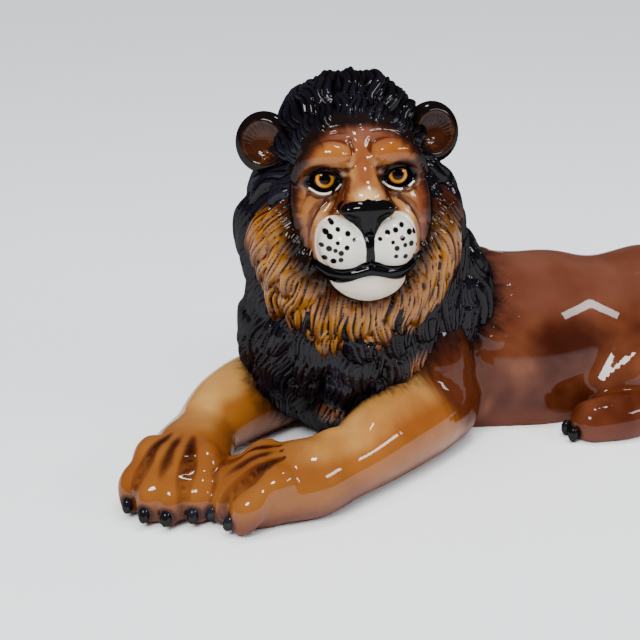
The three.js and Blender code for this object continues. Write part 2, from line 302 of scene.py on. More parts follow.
def painted(piece, stroke, **masks):
    """Gives a piece its painting masks and its brush strokes, as millimetres across and along them."""
    across, up, along = stroke
    ways = np.stack((across, up, along), axis=1).astype(np.float32)
    piece.data.attributes.new("stroke", "FLOAT_VECTOR", "POINT").data.foreach_set("vector", ways.ravel())
    for name, values in masks.items():
        mask = piece.data.attributes.new(name, "FLOAT", "POINT")
        mask.data.foreach_set("value", np.asarray(values, np.float32))


def radial(x, y, ring):
    """Brush strokes that run out from a middle: their places on a ring, and the distance along them."""
    radius = np.maximum(np.hypot(x, y), 1e-6)
    return ring * x / radius, ring * y / radius, radius / STROKE_SHAPE


# The mane: hair flows away from the face, back over the crown, and down the neck and the chest.

MANE = joined(
    (
        on_head(
            joined(
                (mass((0, 50, -14), (67, 58, 70)), 1),
                (mass((0, -48, -4), (98, 100, 74)), 30),
                (mass((0, -50, -40), (106, 104, 84)), 30),
            )
        ),
        1,
    ),
    (mass((-6, 34, 122), (94, 88, 104)), 30),
    (mass((72, 64, 150), (100, 84, 84), (0, 25, 0)), 40),
)
SKULL = joined((mass((0, 12, 2), (70, 72, 74)), 1), (mass((0, 40, 46), (54, 36, 32)), 20))
SCALP = joined((MANE, 1), (on_head(SKULL), 8))
mane_distance = MANE[0]
scalp_distance = SCALP[0]


def hair_flow(p, spread):
    """The way that hair lies on the scalp: away from the face, and down at the sides."""
    q = to_head(p)
    outward = unit((q + (0, 20, 0)) * (1, 1, 0)) @ HEAD_AXES.T
    front = ramp(q[:, 2], -90, 10)[:, None]
    up = ramp(q[:, 1], -30, 60)[:, None]
    flow = outward * (0.25 + front * (spread + (1 - spread) * up)) - 0.6 * HEAD_AXES[:, 2]
    return flow - (0.3 + 1.3 * (1 - up)) * np.array((0, 0, 1))


def shoulder_flow(p, spread):
    """The way that hair lies on the shoulders and the back: away from the mane, and down at the sides."""
    return unit((p - (10, BODY_MIDDLE, 190)) * (1, 0.5, 1)) - spread * np.array((0, 0, 1))


def seen_from(centre, directions, distance):
    """The points of a form that are seen from a centre inside it."""
    p = centre + 320 * directions
    for _ in range(60):
        p = p - directions * (0.7 * distance(p))[:, None]
    return p


# A lock's line has this many steps and this many waves, and it narrows by this share towards its tip.
LINE_STEPS = 12
LOCK_WAVES = 1.2
LOCK_TAPER = 0.25
# Strands sway and differ in width by these shares of a lock, and lie in bundles of about this many.
STRAND_SWAY = 0.1
STRAND_UNEVEN = 0.09
STRAND_BUNDLE = 2.5
# A strand has risen at the first of these shares of its length and rounds off from the second.
STRAND_RISE = 0.55
STRAND_TIP = 0.76
# The depth of the grooves between strands, and how far the combed hair is softened.
STRAND_CUT = 1.25
COMB_SOFTNESS = 0.4


def hair_lines(row, starts, lengths, curls, phases, flow, distance):
    """Lines that follow the hair's flow in waves from their starts, and the way out of the form along them.
    The starts, lengths, curls and phases are one for each lock of the row.
    """
    lines, outs = [starts], []
    for step in range(LINE_STEPS + 1):
        p = lines[-1]
        out = unit(gradient(distance, p)[0])
        outs.append(out)
        level = flow(p, row.get("spread", 0.3))
        level = unit(level - out * (level * out).sum(1, keepdims=True))
        turn = curls * np.cos(step / LINE_STEPS * LOCK_WAVES * TAU + phases)
        heading = level * np.cos(turn)[:, None] + np.cross(out, level) * np.sin(turn)[:, None]
        ahead = p + heading * (lengths / LINE_STEPS)[:, None]
        lines.append(drawn_onto(distance, ahead, 2))
    return np.stack(lines[:-1], axis=1), np.stack(outs, axis=1)


def rows(keys, *table):
    """Rows of locks from a table of their values, under the names of its columns."""
    return [dict(zip(keys.split(), values)) for values in table]


# Rows of locks round the face: polar is the angle from the face's axis, and span the angles round it.
HAIR_MIDDLE = (0, -25, -20)
HEAD_MIDDLE = from_head(HAIR_MIDDLE)
CROWN_ROWS = rows(
    "polar span count length width thick strands",
    (43, (50, 130), 8, 50, 24, 6, 3),
    (54, (32, 148), 11, 68, 27, 10, 3),
    (70, (26, 154), 11, 66, 28, 9, 3),
    (45, (10, 52), 5, 54, 20, 6, 4),
    (45, (128, 170), 5, 54, 20, 6, 4),
)
RUFF_ROWS = rows(
    "polar span count length width thick strands spread curl",
    (34, (152, 388), 24, 96, 48, 13, 8, 0.6, 0.24),
    (48, (158, 382), 24, 80, 42, 12, 7, 0.6, 0.24),
)
BACK_ROWS = rows(
    "polar span count length width thick strands",
    (62, (152, 388), 20, 84, 38, 8, 7),
    (78, (0, 360), 22, 96, 42, 12, 7),
    (100, (0, 360), 18, 104, 46, 14, 8),
    (122, (0, 360), 14, 112, 52, 15, 8),
    (146, (0, 360), 9, 104, 56, 15, 9),
)
# Rows round the neck and the chest, each by its height.
CHEST_MIDDLE = (30, 45)
CHEST_ROWS = rows(
    "height count length width thick strands",
    (208, 18, 74, 42, 13, 8),
    (176, 18, 72, 42, 13, 8),
    (144, 18, 70, 42, 13, 8),
    (112, 17, 62, 42, 12, 8),
    (80, 17, 54, 40, 10, 8),
    (52, 14, 44, 38, 8, 8),
)
# Rows round the shoulders, each by its place along the body.
SHOULDER_ROWS = rows(
    "station span count length width thick strands spread",
    (112, (44, 150), 11, 92, 38, 3.5, 6, 0.2),
    (132, (50, 144), 10, 72, 34, 2.5, 6, 0.2),
)


def lock_starts(row, own, distance):
    """Where the locks of a row start on a form."""
    n = np.arange(row["count"])
    low, high = row.get("span", (0, 360))
    turn = np.radians(low + (high - low) * (n + 0.5 + 0.3 * jitter(own)) / row["count"])
    across, up = np.cos(turn), np.sin(turn)
    if "polar" in row:
        tilt = np.radians(row["polar"] + 6 * jitter(own + 0.3))
        ways = np.stack((np.sin(tilt) * across, np.sin(tilt) * up, np.cos(tilt)), axis=1)
        return seen_from(HEAD_MIDDLE, ways @ HEAD_AXES.T, distance)
    if "station" in row:
        centre = np.array((row["station"], BODY_MIDDLE, 70))
        return seen_from(centre, np.stack((0 * n, -across, up), axis=1), distance)
    level = row["height"] + 12 * jitter(own + 0.3)
    centres = np.stack((0 * level + CHEST_MIDDLE[0], 0 * level + CHEST_MIDDLE[1], level), axis=1)
    return seen_from(centres, np.stack((across, up, 0 * n), axis=1), distance)


def locks_of(rows, seed, flow=hair_flow, distance=scalp_distance):
    """The locks of some rows, each with its line, the way out along it and its number, from the seed up."""
    locks = []
    for r, row in enumerate(rows):
        own = seed + 100.0 * r + np.arange(row["count"])
        lengths = row["length"] * (1 + 0.3 * jitter(own + 0.7))
        curls = row.get("curl", 0.36) * (1 + 0.8 * jitter(own + 0.9))
        starts = lock_starts(row, own, distance)
        lines, outs = hair_lines(row, starts, lengths, curls, 2.2 * jitter(own + 0.2), flow, distance)
        locks += [(row, line, out, number) for line, out, number in zip(lines, outs, own)]
    return locks


def beside_line(q, line, out):
    """Each point's place along a lock's line, as a share of it, and its distance to the side of it."""
    share, aside, nearest = np.zeros(len(q)), np.zeros(len(q)), np.full(len(q), np.inf)
    for n in range(LINE_STEPS):
        way = line[n + 1] - line[n]
        away = q - line[n]
        t = np.clip(away @ way / (way @ way), 0, 1)
        gap = away - t[:, None] * way
        apart = (gap**2).sum(1)
        closer = apart < nearest
        share = np.where(closer, (n + t) / LINE_STEPS, share)
        aside = np.where(closer, gap @ unit(np.cross(way, out[n])), aside)
        nearest = np.minimum(nearest, apart)
    return share, aside


def combed(p, locks, bare):
    """Locks of hair over points of the scalp. Each is cut into strands that draw together at its tip.
    Gives each point's height over the scalp, its places along and across its strand, and the strand's shade.
    """
    height, (along, across, ridge, shade) = bare.copy(), np.zeros((4, len(p)))
    for row, line, out, own in locks:
        middle = line.mean(axis=0)
        reach = np.linalg.norm(line - middle, axis=1).max() + row["width"] / 2
        near = np.flatnonzero(((p - middle) ** 2).sum(1) < reach**2)
        share, aside = beside_line(p[near], line, out)
        half = row["width"] / 2 * (1 - LOCK_TAPER * share) * np.maximum(1 - share**5, 0.02) ** 0.6
        w = aside / half
        inside = np.abs(w) < 1
        near, share, aside, half, w = (values[inside] for values in (near, share, aside, half, w))
        sway = STRAND_SWAY * np.sin(TAU * (1.3 * share + jitter(own))) * (1 - w**2)
        uneven = STRAND_UNEVEN * np.sin(TAU * (0.9 * w + 0.37 * own)) * (1 - w**2)
        place = np.clip((w + sway + uneven + 1) / 2, 0, 0.999) * row["strands"]
        strand = np.floor(place)
        kind = jitter(own + 0.31 * strand) + 0.5
        x = 2 * (place - strand) - 1
        on_strand = share / (0.84 + 0.16 * (jitter(own + 0.47 * strand) + 0.5))
        tip = np.clip((on_strand - STRAND_TIP) / (1 - STRAND_TIP), 0, 1)
        swell = ramp(on_strand, 0, STRAND_RISE) * np.sqrt(1 - tip**2)
        bundle = place / STRAND_BUNDLE + own
        crest = 1 - 0.65 * x**2 - 0.35 * (2 * (bundle - np.floor(bundle)) - 1) ** 2
        dome = 0.15 + 0.85 * np.sqrt(1 - w**2)
        full = row["thick"] * (1 + 0.35 * jitter(own + 0.61)) * (0.86 + 0.28 * kind)
        rise = bare[near] + (full - bare[near]) * swell * dome
        rise = rise - STRAND_CUT * half / row["strands"] * (1 - crest) * ramp(swell, 0, 0.3)
        higher = rise > height[near]
        chosen = near[higher]
        height[chosen] = rise[higher]
        along[chosen] = on_strand[higher]
        across[chosen] = aside[higher] + 40 * (own % 5)
        ridge[chosen] = crest[higher]
        shade[chosen] = 0.5 * kind[higher] + 0.5 * (jitter(own + 0.77) + 0.5)
    return height, along, across, ridge, shade


def comb(piece, locks, bare, distance=scalp_distance):
    """Raises locks of hair from a piece. Between the locks, its height is bare(points)."""
    p = points_of(piece)
    height, *strands = combed(p, locks, bare(p))
    out = unit(gradient(distance, p)[0])
    height = (1 - COMB_SOFTNESS) * height + COMB_SOFTNESS * neighbours_mean(piece, height)
    set_points(piece, p + out * height[:, None])
    return strands


def face_angles(p):
    """The angle of each point from the face's axis, and round it, in degrees."""
    q = to_head(p) - HAIR_MIDDLE
    tilt = np.arccos(q[:, 2] / np.linalg.norm(q, axis=1))
    return np.degrees(tilt), np.degrees(np.arctan2(q[:, 1], q[:, 0]))


# Where the dark hair thins to tan, low on the chest, and how far that spreads.
TAN_SPOTS = (((62, -36, 96), 26), ((-30, -34, 62), 20))


def paint_hair(piece, strands, cell):
    """Marks how combed hair is painted."""
    along, across, ridge, shade = strands
    p = points_of(piece)
    painted(
        piece,
        (across, 0 * across, 70 * along / STROKE_SHAPE),
        hollow=hollows(piece, 1, cell),
        # groove and hollow mark where painted shade darkens the hair
        groove=neighbours_mean(piece, neighbours_mean(piece, 1 - ridge)),
        root=1 - along,
        shade=neighbours_mean(piece, shade),
        height=to_head(p) @ (0.18, 1, 0),
        face=face_angles(p)[0],
        tan=sum(np.exp(-(((p - spot) ** 2).sum(1) / reach**2)) for spot, reach in TAN_SPOTS),
    )


def cut_free(piece, kept):
    """The part of a piece whose points are kept, as a bmesh, with its edges open."""
    shells = bmesh.new()
    shells.from_mesh(piece.data)
    shells.verts.ensure_lookup_table()
    outside = [vertex for vertex, keep in zip(shells.verts, kept) if not keep]
    bmesh.ops.delete(shells, geom=outside, context="VERTS")
    return shells


def parted(piece, name, at, way):
    """Cuts a piece by a plane and closes both parts with a flat wall. The new part lies beyond the plane."""
    beyond = linked(name, bpy.data.meshes.new(name))
    for part, near in ((beyond, False), (piece, True)):
        shells = bmesh.new()
        shells.from_mesh(piece.data)
        whole = shells.verts[:] + shells.edges[:] + shells.faces[:]
        cut = bmesh.ops.bisect_plane(
            shells, geom=whole, plane_co=at, plane_no=way, clear_outer=near, clear_inner=not near
        )
        rim = [edge for edge in cut["geom_cut"] if isinstance(edge, bmesh.types.BMEdge)]
        bmesh.ops.holes_fill(shells, edges=rim, sides=0)
        bmesh.ops.triangulate(shells, faces=[face for face in shells.faces if len(face.verts) > 4])
        for edge in rim:
            edge.smooth = False
        shells.to_mesh(part.data)
        shells.free()
    return beyond


# The mane is combed in one and then cut in three, at these places along Y.
MANE_CELL = 1.22
FRONT_PARTING = 0
BACK_PARTING = 62
mane = moulded("mane_front", SCALP, (4, MANE_CELL))
dark_locks = locks_of(CROWN_ROWS, 2000) + locks_of(BACK_ROWS, 200) + locks_of(CHEST_ROWS, 1000)


def under_mane(p):
    """The height of the mane between its locks: under the skin of the face, and over the neck."""
    return 5 * ramp(face_angles(p)[0], 60, 84) * (1 - ramp(to_head(p)[:, 1], -10, 40)) - 2.5


paint_hair(mane, comb(mane, dark_locks, under_mane), MANE_CELL)
mane_back = parted(mane, "mane_back", (0, BACK_PARTING, 0), (0, 1, 0))
mane_middle = parted(mane, "mane_middle", (0, FRONT_PARTING, 0), (0, 1, 0))

# The ruff is a band of its own round the face, as thick as a slip casting, and its edges lie under dark hair.
# It keeps the band of angles from the face's axis, less the gap of angles round it, over the brow.
RUFF_CELL = 1.15
RUFF_WALL = 5
RUFF_BAND = (26, 92)
RUFF_GAP = (40, 140)
# Between its locks, the ruff lies this far under the scalp.
RUFF_SINK = 6.0


def between(x, limits):
    low, high = limits
    return (x > low) & (x < high)


ruff = moulded("ruff_right", SCALP, (4, RUFF_CELL))
tilt, turn = face_angles(points_of(ruff))
shells = cut_free(ruff, between(tilt, RUFF_BAND) & ~between(turn, RUFF_GAP))
bmesh.ops.solidify(shells, geom=shells.faces[:], thickness=RUFF_WALL)
bmesh.ops.recalc_face_normals(shells, faces=shells.faces)
shells.to_mesh(ruff.data)
shells.free()
ruff_strands = comb(ruff, locks_of(RUFF_ROWS, 100), lambda p: np.full(len(p), -RUFF_SINK))
paint_hair(ruff, ruff_strands, RUFF_CELL)
ruff_left = parted(ruff, "ruff_left", HEAD.translation, HEAD.to_3x3() @ Vector((1, 0, 0)))

# The head, in its own frame: its halves are alike about a line that leans a little to the lion's left.


def from_middle(q):
    """How far points of the head's frame lie to the side of the face's middle line."""
    return q[:, 0] - (2 + 0.02 * (13 - q[:, 1]))


def halved(form):
    """A form of one half of the face, on both halves."""
    distance, balls = form

    def both(q):
        return distance(np.stack((np.abs(from_middle(q)), q[:, 1], q[:, 2]), axis=1))

    flip = Matrix.Diagonal((-1, 1, 1, 1))
    return both, balls + [flip @ ball for ball in balls]


def creased(form, *creases):
    """A form with soft grooves in its front, each by its depth, half-width and points in the face's plane."""
    distance, balls = form

    def with_creases(q):
        total = distance(q)
        for depth, wide, points in creases:
            away = line_distance(q[:, 0], q[:, 1], points)
            total = total + depth * np.exp(-((away / wide) ** 2)) * ramp(q[:, 2], 20, 40)
        return total

    return with_creases, balls


def step_distance(a, v, start, end):
    """Distance in the face's plane from one straight step of a line."""
    (x, y), (dx, dy) = start, end - start
    t = np.clip(((a - x) * dx + (v - y) * dy) / (dx * dx + dy * dy + 1e-9), 0, 1)
    return np.hypot(a - x - t * dx, v - y - t * dy)


def line_distance(a, v, points):
    """Distance in the face's plane from a line through points."""
    nearest = np.full(len(a), np.inf)
    smooth, _ = curve_through(points, 4 * len(points))
    for start, end in zip(smooth[:-1], smooth[1:]):
        nearest = np.minimum(nearest, step_distance(a, v, start, end))
    return nearest


def outline_distance(a, v, points):
    """Distance in the face's plane from a closed outline, minus inside it."""
    corners, _ = curve_through(points, 4 * len(points) + 1, closed=True)
    nearest = np.full(len(a), np.inf)
    inside = np.zeros(len(a), bool)
    for start, end in zip(corners[:-1], corners[1:]):
        nearest = np.minimum(nearest, step_distance(a, v, start, end))
        (x, y), (dx, dy) = start, end - start
        inside ^= ((y > v) != (end[1] > v)) & (a < x + dx * (v - y) / (dy or 1e-9))
    return np.where(inside, -nearest, nearest)


EYE = (34.5, 12.5, 61)
EYE_RADIUS = 14
BROW = limb([(12, 30, 82), (24, 35, 83), (38, 34, 78), (50, 27, 68), (58, 15, 56)], [9, 12, 12, 10.5, 8])
UPPER_LID = limb(
    [(19, 11, 72), (26, 19.5, 76), (36, 22.5, 77), (46, 19.5, 71), (53, 9, 62)],
    [2, 3, 3.2, 3, 2],
)
LOWER_LID = limb(
    [(19, 8, 72), (25, 1.5, 75), (35, -1.5, 76), (45, 0.5, 71), (53, 7, 62)],
    [1.8, 2.4, 2.6, 2.4, 1.8],
)
LOWER_LIP = limb([(0, -73, 92), (18, -77, 88), (34, -76, 78), (47, -69, 66)], [5, 5.5, 5, 4])
BARE_FACE = carved(
    joined(
        (mass((0, 12, 2), (70, 72, 74)), 1),  # the skull
        (mass((0, -58, 40), (52, 50, 46)), 20),  # the jaw
        (mass((0, 40, 46), (54, 36, 32)), 20),  # the forehead
        (mass((40, -26, 40), (31, 52, 32)), 16),  # the cheeks
        (limb([(0, 46, 68), (0, 20, 77), (0, -8, 93)], [16, 14, 21]), 9),  # the bridge of the nose
        (BROW, 4),
        (mass((35.5, 10, 60), (21, 15, 16)), 4),  # round the eyes
    ),
    (mass((35.5, 10.8, 80), (17.5, 10.2, 15), (0, 14, 0)), 2),  # the openings of the eyes
    (mass((17.5, 13, 88), (4.5, 9, 8)), 4),  # their inner corners
)
NOSE = carved(
    joined(
        (mass((0, -15, 101), (25, 11, 15)), 1),
        (mass((0, -27, 100), (11, 14, 13)), 6),
        (mass((18, -16, 101), (8, 8, 12)), 4),
    ),
    (mass((15, -24, 112), (8, 4, 8), (0, 0, 30)), 2),  # the nostrils
)
FACE = halved(
    creased(
        joined(
            (BARE_FACE, 1),
            (UPPER_LID, 2),
            (LOWER_LID, 2),
            (mass((22, -48, 82), (25, 26, 29)), 4),  # the pads of the muzzle
            (mass((0, -50, 86), (12, 22, 20)), 5),  # between the pads
            (mass((0, -86, 64), (36, 21, 27)), 4),  # the chin
            (LOWER_LIP, 2),
            (NOSE, 2),
        ),
        (2.5, 2.6, [(0, -34), (0, -50), (0, -66)]),
        (2.2, 2.5, [(17, 10), (22, -2), (28, -16)]),
        (2.4, 3.0, [(34, -8), (44, -18), (52, -34), (54, -56)]),
        (1.4, 2.6, [(50, 0), (58, -14), (63, -36)]),
        (1.1, 1.8, [(0, 51), (14, 54), (30, 53), (46, 46)]),
        (0.9, 1.6, [(0, 58), (18, 60), (34, 57)]),
        (1.6, 2.2, [(9, 48), (8, 38), (13, 28)]),
    )
)

HEAD_CELL = 1.35
head = moulded("head", on_head(FACE), (3, HEAD_CELL))


def face_plane(piece):
    """Each point of a piece by its distance from the face's middle line, its height and its depth."""
    q = to_head(points_of(piece))
    return from_middle(q), q[:, 1], q[:, 2]


# What is painted on one half of the face, as outlines and lines across it and up it.
NOSE_OUTLINE = [
    (-4, -6.6), (4, -6.4), (12, -6.8), (19, -8.2), (23.6, -11.5), (25.2, -16), (22.5, -20.5), (18, -25),
    (12, -30), (7.5, -36), (5, -43), (4, -52), (4.4, -62), (3, -68), (-4, -68), (-6, -40),
]
PAD_OUTLINE = [
    (14, -27), (22, -23), (33, -22), (42, -27), (47, -36), (48.5, -47), (48, -58), (44, -66), (33, -69.5),
    (20, -70.5), (9, -67), (1, -60), (0, -52), (2, -43), (7, -34),
]
MOUTH_OUTLINE = [
    (-4, -64), (0, -63.5), (7, -65.5), (15, -69), (28, -70), (38, -69), (46, -65), (53, -62), (52, -70),
    (44, -79), (34, -85), (22, -84.5), (10, -80.5), (0, -79), (-4, -79),
]
CHIN_OUTLINE = [
    (-4, -78), (0, -79), (12, -80), (24, -81.5), (34, -81), (36, -86), (30, -93), (22, -99), (11, -103.5),
    (0, -105.5), (-4, -105.5),
]
EYE_OUTLINE = [
    (18, 9.5), (23, 15.8), (30, 20.4), (38, 21.4), (46, 18), (51.5, 12.5), (53, 9), (48, 4.5), (42, 1.4),
    (35, 0.2), (27.5, 1.6), (22, 5),
]
LID_LINE = [(20, 6.5), (23.5, 3.2), (29, 0.6), (36, -0.8), (43, 0.6), (49.5, 5)]
# The painted shadow in the crease from the inner corner of the eye down beside the nose.
CREASE_SHADOW_LINE = [(15, 12), (19, 0), (23, -12), (31, -20)]
BAG_LINE = [(26, -6), (38, -9), (48, -16), (53, -30)]
BROW_OUTLINE = [
    (62, 13), (60, 27), (50.5, 38), (37, 44), (23, 44), (12.6, 39), (9.5, 32.5), (15, 27), (26.5, 25),
    (40, 24), (52, 18),
]
# The spots that the whiskers grow from, on the lion's right and on its left.
WHISKER_SPOTS = (
    [
        (33, -26), (28.5, -32), (39.3, -34), (36.3, -38), (20, -36), (14.5, -42), (30, -44), (44, -46),
        (38, -49), (32.5, -51), (22, -48.7), (27.6, -53.5), (42, -58), (34.6, -61), (28, -60),
    ],
    [
        (30.7, -31.6), (43.5, -39), (16.6, -37.3), (24.2, -35.6), (37.5, -38.6), (9.5, -43), (30, -43.3),
        (20.6, -46.5), (32, -50), (38.5, -49.3), (46.5, -51.9), (24, -52.3), (23, -60), (32.2, -61),
        (42.5, -62),
    ],
)


def paint_face(piece, cell):
    """Marks how the face is painted, mostly by distances from outlines on the front of it."""
    across, v, deep = face_plane(piece)
    a = np.abs(across)
    front = np.where(deep > 30, 0, 30)
    nose = outline_distance(a, v, NOSE_OUTLINE)
    mouth = outline_distance(a, v, MOUTH_OUTLINE)
    pads = outline_distance(a, v, PAD_OUTLINE)
    chin = outline_distance(a, v, CHIN_OUTLINE)
    eye = outline_distance(a, v, EYE_OUTLINE)
    lid = line_distance(a, v, LID_LINE)
    spots = np.full(len(a), 9.0)
    for side, places in zip((-1, 1), WHISKER_SPOTS):
        for n, (x, y) in enumerate(places):
            size = 2.5 + 1.0 * jitter(n + 3.7 * side)
            spots = np.minimum(spots, np.hypot(across - side * x, v - y) - size)
    ink = np.minimum.reduce((nose, mouth, eye - 0.9 - 0.9 * ramp(v, 8, 20), spots)) + front
    smudge = line_distance(a, v, CREASE_SHADOW_LINE)
    bags = line_distance(a, v, BAG_LINE)
    white = np.minimum(pads, chin) + front
    brow = outline_distance(a, v, BROW_OUTLINE) + front
    edge = np.hypot(a / 64, (v + 18) / 84)
    bridge_light = np.exp(-((a / 14) ** 2) - ((v + 2) / 9) ** 2)
    cheek_light = np.exp(-(((a - 44) / 12) ** 2) - ((v + 24) / 16) ** 2)
    painted(
        piece,
        radial(across, v + 20, 55),
        ink=-ink,
        white=-white,
        lid=1.0 - lid - front,
        brow=-brow,
        rim=edge,
        smudge=-smudge - front,
        bags=-bags - front,
        light=bridge_light + 0.6 * cheek_light,
        glabella=np.exp(-((a / 9) ** 2)) * ramp(v, 2, 14) * (1 - ramp(v, 40, 56)) * (v > 0),
        # painted shadow of the brows round the eyes
        socket=-np.maximum(eye - 4 * ramp(a, 20, 50) * ramp(v, 8, 20), 0) - front,
        hollow=hollows(piece, 2, cell),
        height=v,
        # painted shade over the lion's left cheek, the side away from the light
        left=ramp(across, 34, 62) * (1 - ramp(v, 20, 40)),
    )


# The join of the two halves is rubbed smooth over the forehead.
across, v, _ = face_plane(head)
middle_of_face = np.exp(-(((across - 2) / 7) ** 2)) * ramp(v, 0, 8) * (1 - ramp(v, 50, 60))
for _ in range(8):
    p = points_of(head)
    set_points(head, p + middle_of_face[:, None] * (neighbours_mean(head, p) - p))
paint_face(head, HEAD_CELL)


# Ears: round and cupped, facing forward and a little outward.
EAR_CELL = 1.3
EAR_HAIRS = 46


def ear(name, side):
    """One ear, on side -1 or 1, with fine hairs that run out of its hollow."""
    cup = carved(
        joined((mass((0, 0, -6), (30, 31, 14)), 1), (mass((-side * 16, -12, -10), (20, 20, 14)), 10)),
        (mass((0, 0, 14), (25, 26, 17)), 3),
    )
    place = HEAD @ Matrix.Translation((side * 86, 47, -6)) @ rotation(side * 18, "Y")
    axes, middle = np.array(place.to_3x3()), np.array(place.translation)

    def with_hairs(p):
        q = (p - middle) @ axes
        turn, radius = np.arctan2(q[:, 1] + 8, q[:, 0] + side * 10), np.hypot(q[:, 0], q[:, 1])
        inside = ramp(radius, 4, 12) * (1 - ramp(radius, 15, 21)) * ramp(q[:, 2], -9, -4)
        return cup[0](q) + 0.7 * np.sin(EAR_HAIRS * turn + 0.12 * radius) * inside

    piece = moulded(name, (with_hairs, [place @ ball for ball in cup[1]]), (2, EAR_CELL))
    q = (points_of(piece) - middle) @ axes
    radius = np.hypot(q[:, 0], q[:, 1])
    painted(
        piece,
        radial(q[:, 0] + side * 10, q[:, 1] + 8, 25),
        hollow=hollows(piece, 2, EAR_CELL),
        cup=radius,
        back=-q[:, 2],
    )
    return piece


ears = [ear("ear_right", -1), ear("ear_left", 1)]


# Eyes: smooth balls with the iris and the pupil painted round a point of the face's plane.
IRIS_MIDDLE = (34.5, 12.8)


def eye(name, side):
    shells = bmesh.new()
    x, y, z = EYE
    bmesh.ops.create_icosphere(shells, subdivisions=5, radius=EYE_RADIUS)
    bmesh.ops.transform(shells, matrix=HEAD @ Matrix.Translation((side * x + 2, y, z)), verts=shells.verts)
    piece = linked(name, bpy.data.meshes.new(name))
    shells.to_mesh(piece.data)
    shells.free()
    across, v, _ = face_plane(piece)
    a = np.abs(across)
    painted(
        piece,
        radial(across - side * IRIS_MIDDLE[0], v - 13.3, 9),
        iris=np.hypot(a - IRIS_MIDDLE[0], v - IRIS_MIDDLE[1]),
        lid=1.2 - line_distance(a, v, LID_LINE),
        # the upper lid's black, reaching down over the top of the eye as the painted shadow of the brow
        lash=outline_distance(a, v, EYE_OUTLINE) + 2.2 * ramp(v, 9, 17),
    )
    return piece


eyes = [eye("eye_right", -1), eye("eye_left", 1)]


# The body, the legs and the tail.
# The forepaws start at these wrists and point these ways. Toes and gaps are numbered across a paw.
WRISTS = (((-70, -116, 0), 181), ((-174, -32, 0), 239))
TOES = (-1.5, -0.5, 0.5, 1.5)
GAPS = (-1, 0, 1)
PALM_LINE = ((6, 0, 30), (34, 0, 30), (58, 0, 24))


def paw_point(wrist, heading, x, y, z):
    """A point that is given forward from the wrist, to the side and up."""
    return (rotation(heading, "Z") @ Vector((x, y, z)) + Vector(wrist)).to_tuple()


def on_paws(lines):
    """Lines of one forepaw, on both of them."""
    return [
        [paw_point(wrist, heading, *point) for point in line]
        for wrist, heading in WRISTS
        for line in lines
    ]


def toe_reach(toe):
    return 92 - 6 * toe * toe


def toe_line(toe):
    """The line of a toe, from the middle of the paw to its tip."""
    reach = toe_reach(toe)
    return (
        (34, toe * 13, 40), (reach - 38, toe * 18, 46), (reach - 20, toe * 21, 38), (reach - 6, toe * 22, 27),
        (reach + 1, toe * 22, 14),
    )


def groove_line(gap):
    """The line of the groove between two toes."""
    return (
        (30, gap * 11, 60), (50, gap * 16, 57), (68, gap * 20, 51), (82, gap * 22, 41), (92, gap * 22, 26),
        (95, gap * 22, 8),
    )


def claw_places():
    """Where the claws are set in the tips of the toes."""
    places = []
    for wrist, heading in WRISTS:
        for toe in TOES:
            tip = Matrix.Translation(paw_point(wrist, heading, toe_reach(toe) + 13.5, toe * 22.4, 15))
            places.append(tip @ rotation(heading, "Z") @ rotation(-28, "Y"))
    for side in (-1, 1):
        for toe in (-0.6, 0.6):
            hind_toe = Matrix.Translation((236, BODY_MIDDLE + side * 116 + 14 * toe, 10))
            places.append(hind_toe @ rotation(180, "Z"))
    return places


def thigh(side):
    line = [(404, 46, 74), (350, 60, 60), (300, 72, 38)]
    return limb([(x, BODY_MIDDLE + side * y, z) for x, y, z in line], [74, 56, 33])


def hind_foot(side):
    line = [(400, 100, 26), (340, 112, 24), (296, 116, 20), (262, 116, 18)]
    return limb([(x, BODY_MIDDLE + side * y, z) for x, y, z in line], [28, 25, 27, 24])


TAIL_LINE = [
    (448, 50, 66), (476, 34, 36), (488, -4, 18), (478, -48, 14), (448, -80, 13), (404, -94, 16),
    (366, -96, 14),
]
TAIL = limb(TAIL_LINE, [22, 17, 15, 14, 14, 17, 12])
FORELEG_LINES = (
    ([(102, -10, 36), (66, -34, 40), (20, -66, 38), (-30, -102, 34), (-70, -119, 33)], [40, 46, 43, 35, 35]),
    ([(-30, 84, 42), (-80, 68, 42), (-124, 38, 40), (-156, 4, 34), (-172, -26, 32)], [41, 46, 42, 34, 33]),
)
FORELEGS = [limb(line, radii, count=41) for line, radii in FORELEG_LINES]
PALMS = [limb(line, [36, 44, 42], 0.8) for line in on_paws([PALM_LINE])]
TOE_LINES = on_paws([toe_line(toe) for toe in TOES])
TOE_FORMS = [limb(line, [10, 18, 13, 17.5, 14], count=17) for line in TOE_LINES]
GROOVE_LINES = on_paws([groove_line(gap) for gap in GAPS])
TOE_GROOVES = [limb(line, [3, 5.5, 6.5, 6.8, 6.2, 5], count=41) for line in GROOVE_LINES]
CLAW_PLACES = claw_places()
BODY = joined(
    (mass((110, 82, 58), (130, 84, 138)), 1),  # the chest
    (mass((240, 66, 52), (140, 90, 124)), 40),  # the belly
    (mass((378, BODY_MIDDLE, 56), (96, 88, 116)), 40),  # the hindquarters
    (limb([(84, 14, 136), (90, -4, 92), (98, -12, 46)], [40, 42, 37]), 14),  # the right upper arm
    (thigh(-1), 12),
    (thigh(1), 12),
    (hind_foot(-1), 6),
    (hind_foot(1), 6),
    (TAIL, 6),
    (FORELEGS[0], 12),
    (FORELEGS[1], 12),
    (limb([(88, -6, 66), (44, -42, 70), (-4, -80, 60)], [16, 17, 11]), 22),  # the muscle of the right forearm
    (mass((-46, -96, 56), (15, 12, 12)), 14),  # the bone of the right wrist
    (mass((-146, 10, 58), (14, 13, 12)), 14),  # the bone of the left wrist
    *((palm, 26) for palm in PALMS),
    *((toe, 3) for toe in TOE_FORMS),
)
BODY = carved(BODY, *((groove, 4) for groove in TOE_GROOVES))


